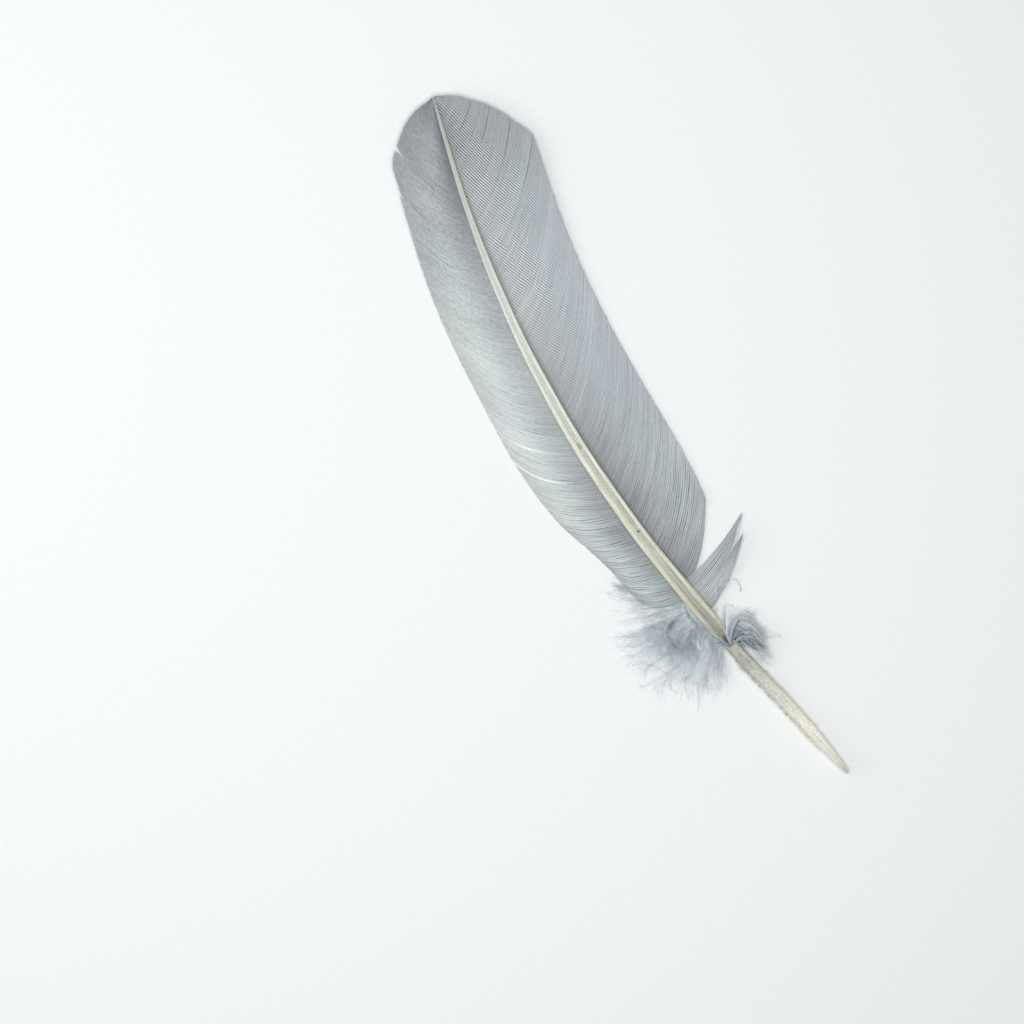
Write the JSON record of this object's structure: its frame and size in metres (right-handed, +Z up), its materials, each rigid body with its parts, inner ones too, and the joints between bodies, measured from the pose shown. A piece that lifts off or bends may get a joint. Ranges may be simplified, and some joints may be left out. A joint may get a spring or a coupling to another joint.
{
  "type": "turkey quill feather",
  "caption": "Grey turkey wing quill lying on its back, with a bare quill, grooved shaft, narrow and wide vanes, a split lower lobe and tufts of down.",
  "frame": {"origin": "on the surface that the feather rests on, under the middle of its bounding box", "axes": "+Y from the quill's foot to the vane's tip, +X towards the wide vane, +Z up, out of the feather's underside"},
  "size_m": [0.0754, 0.29, 0.0111],
  "materials": {
    "shaft": "satin horn-like keratin",
    "wide_vane": "matt barbs with a faint cross-hatch",
    "narrow_vane": "matt barbs with a soft silk sheen",
    "down": "matt soft down"
  },
  "bodies": {
    "root": {"shaft": "shaft", "inner_vane": "wide_vane", "outer_vane": "narrow_vane", "lower_lobe": "wide_vane", "down_tuft": "down", "down_curl": "down"}
  },
  "joints": []
}
